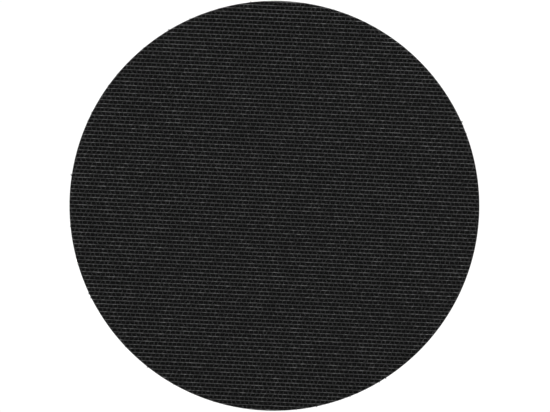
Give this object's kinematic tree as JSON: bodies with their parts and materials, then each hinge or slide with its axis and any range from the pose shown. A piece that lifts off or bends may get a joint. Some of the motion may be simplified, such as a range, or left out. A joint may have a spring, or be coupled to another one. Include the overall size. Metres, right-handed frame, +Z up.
{
  "type": "orbital sander",
  "caption": "Palm-held air orbital sander with a round hook-faced pad on an offset spindle, a throttle lever over the grip, an air inlet, a speed dial and an exhaust muffler.",
  "frame": {"origin": "centre of the pad's hook face", "axes": "+Z up the pad's axis, away from the work; +X towards the hose end; the motor's axis is one orbit radius behind the pad's, towards -X"},
  "size_m": [0.152, 0.15, 0.0981],
  "materials": {
    "hook_tape": "woven, matt",
    "foam": "moulded skin, matt",
    "glass_plate": "woven glass, satin",
    "zinc_steel": "zinc plated, satin",
    "rivet_aluminium": "satin",
    "dark_steel": "black oxide",
    "bearing_steel": "polished",
    "machined_steel": "turned",
    "machined_aluminium": "turned",
    "vane_laminate": "cloth laminate, matt",
    "housing_composite": "moulded, fine grain",
    "black_plastic": "moulded, satin",
    "grip_rubber": "moulded, matt",
    "seal_rubber": "smooth",
    "brass": "turned",
    "stainless": "smooth",
    "felt": "porous",
    "lever_steel": "brushed"
  },
  "bodies": {
    "housing": {"motor_housing": "housing_composite", "palm_grip": "grip_rubber", "pad_skirt": "grip_rubber", "lock_ring": "machined_aluminium", "motor_cylinder": "machined_steel", "front_end_plate": "machined_aluminium", "rear_end_plate": "machined_aluminium", "stack_dowels": "bearing_steel", "front_bearing_outer_ring": "bearing_steel", "rear_bearing_outer_ring": "bearing_steel", "inlet_bushing": "machined_aluminium", "inlet_seal": "seal_rubber", "valve_seat": "brass", "valve_spring": "stainless", "stem_bush": "brass", "stem_seal": "seal_rubber", "dial_stop_screw": "stainless", "muffler_sleeve": "black_plastic", "muffler_core": "felt", "muffler_cap": "black_plastic", "lever_pin": "dark_steel"},
    "crank": {"balanced_crank": "machined_steel", "rotor_key": "machined_steel", "rotor": "machined_aluminium", "rotor_vanes": "vane_laminate", "shaft_circlip": "dark_steel", "front_bearing_inner_ring": "bearing_steel", "rear_bearing_inner_ring": "bearing_steel", "pad_bearing_outer_rings": "bearing_steel", "spindle_circlip": "dark_steel"},
    "pad": {"pad_hook_sheet": "hook_tape", "pad_foam": "foam", "pad_backing_plate": "glass_plate", "pad_hub_plate": "zinc_steel", "pad_stud": "dark_steel", "pad_rivets": "rivet_aluminium", "pad_spacer": "zinc_steel", "spindle": "dark_steel", "spindle_screw": "dark_steel", "spindle_washer": "dark_steel", "pad_bearing_inner_rings": "bearing_steel"},
    "pad_cages": {"pad_bearing_cages": "bearing_steel"},
    "motor_cages": {"front_bearing_cage": "bearing_steel", "rear_bearing_cage": "bearing_steel"},
    "lever": {"throttle_lever": "lever_steel"},
    "stem": {"valve_stem": "stainless"},
    "valve": {"tip_valve": "brass"},
    "dial": {"speed_dial": "black_plastic", "dial_seal": "seal_rubber"}
  },
  "joints": [
    {"name": "shaft_spin", "type": "hinge", "parent": "housing", "child": "crank", "pos_m": [-0.0025, 0, 0.0625], "axis": [0, 0, 1], "continuous": true},
    {"name": "pad_spin", "type": "hinge", "parent": "crank", "child": "pad", "pos_m": [0, 0, 0.031], "axis": [0, 0, 1], "continuous": true},
    {"name": "pad_cage_spin", "type": "hinge", "parent": "crank", "child": "pad_cages", "pos_m": [0, 0, 0.031], "axis": [0, 0, 1], "continuous": true},
    {"name": "motor_cage_spin", "type": "hinge", "parent": "housing", "child": "motor_cages", "pos_m": [-0.0025, 0, 0.0625], "axis": [0, 0, 1], "continuous": true},
    {"name": "lever_pivot", "type": "hinge", "parent": "housing", "child": "lever", "pos_m": [0.058, 0, 0.0815], "axis": [0, -1, 0], "range_deg": [0, 4.5], "stiffness_Nm_per_rad": 0.6, "springref_deg": -6.88},
    {"name": "stem_slide", "type": "slide", "parent": "housing", "child": "stem", "axis": [0, 0, -1], "range_m": [0, 0.00104]},
    {"name": "valve_tip", "type": "hinge", "parent": "housing", "child": "valve", "pos_m": [0.0521, -0.013, 0.0674], "axis": [0, -1, 0], "range_deg": [0, 8.4], "deforming": ["valve_spring"]},
    {"name": "dial_turn", "type": "hinge", "parent": "housing", "child": "dial", "pos_m": [0.036, -0.02, 0.062], "axis": [0, 1, 0], "range_deg": [0, 90]}
  ],
  "couplings": [
    {"joint": "pad_cage_spin", "follows": "pad_spin", "ratio": 0.41},
    {"joint": "motor_cage_spin", "follows": "shaft_spin", "ratio": 0.41},
    {"joint": "stem_slide", "follows": "lever_pivot", "m_per_rad": 0.013},
    {"joint": "valve_tip", "follows": "lever_pivot", "ratio": 1.83}
  ]
}
